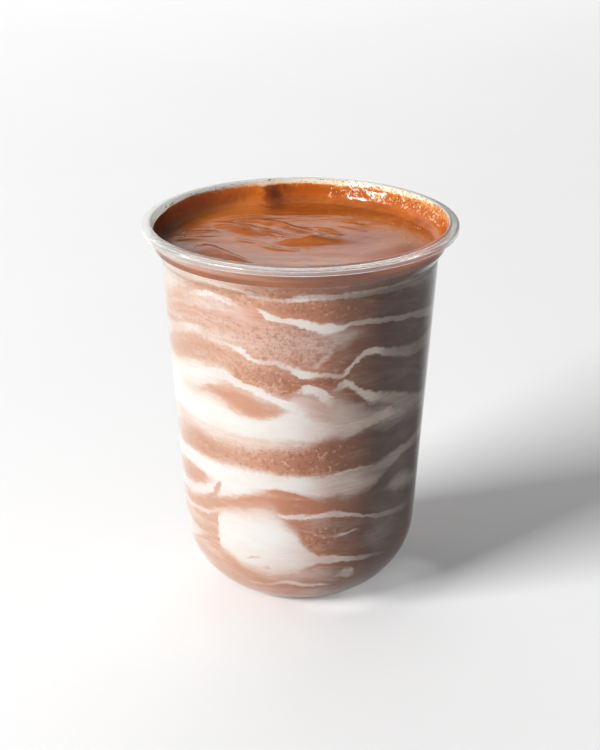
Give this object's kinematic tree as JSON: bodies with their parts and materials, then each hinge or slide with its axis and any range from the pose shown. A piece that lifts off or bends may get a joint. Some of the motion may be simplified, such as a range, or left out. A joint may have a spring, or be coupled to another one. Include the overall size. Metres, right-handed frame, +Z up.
{
  "type": "protein smoothie in a clear cup",
  "caption": "Chocolate and milk smoothie, marbled and topped with a stirred chocolate layer, in a clear tapered plastic cup with a flanged rim.",
  "frame": {"origin": "middle of the foot, on the surface that the cup stands on", "axes": "+Z up along the cup's axis, -Y towards the side of the cup that is seen from the front"},
  "size_m": [0.095, 0.095, 0.1164],
  "materials": {
    "cup_plastic": "clear moulded plastic, glossy",
    "smoothie": "opaque wet drink, milk and chocolate marbled",
    "chocolate": "wet glossy chocolate drink"
  },
  "bodies": {
    "root": {"cup": "cup_plastic", "marbled_smoothie": "smoothie", "chocolate_top": "chocolate"}
  },
  "joints": []
}
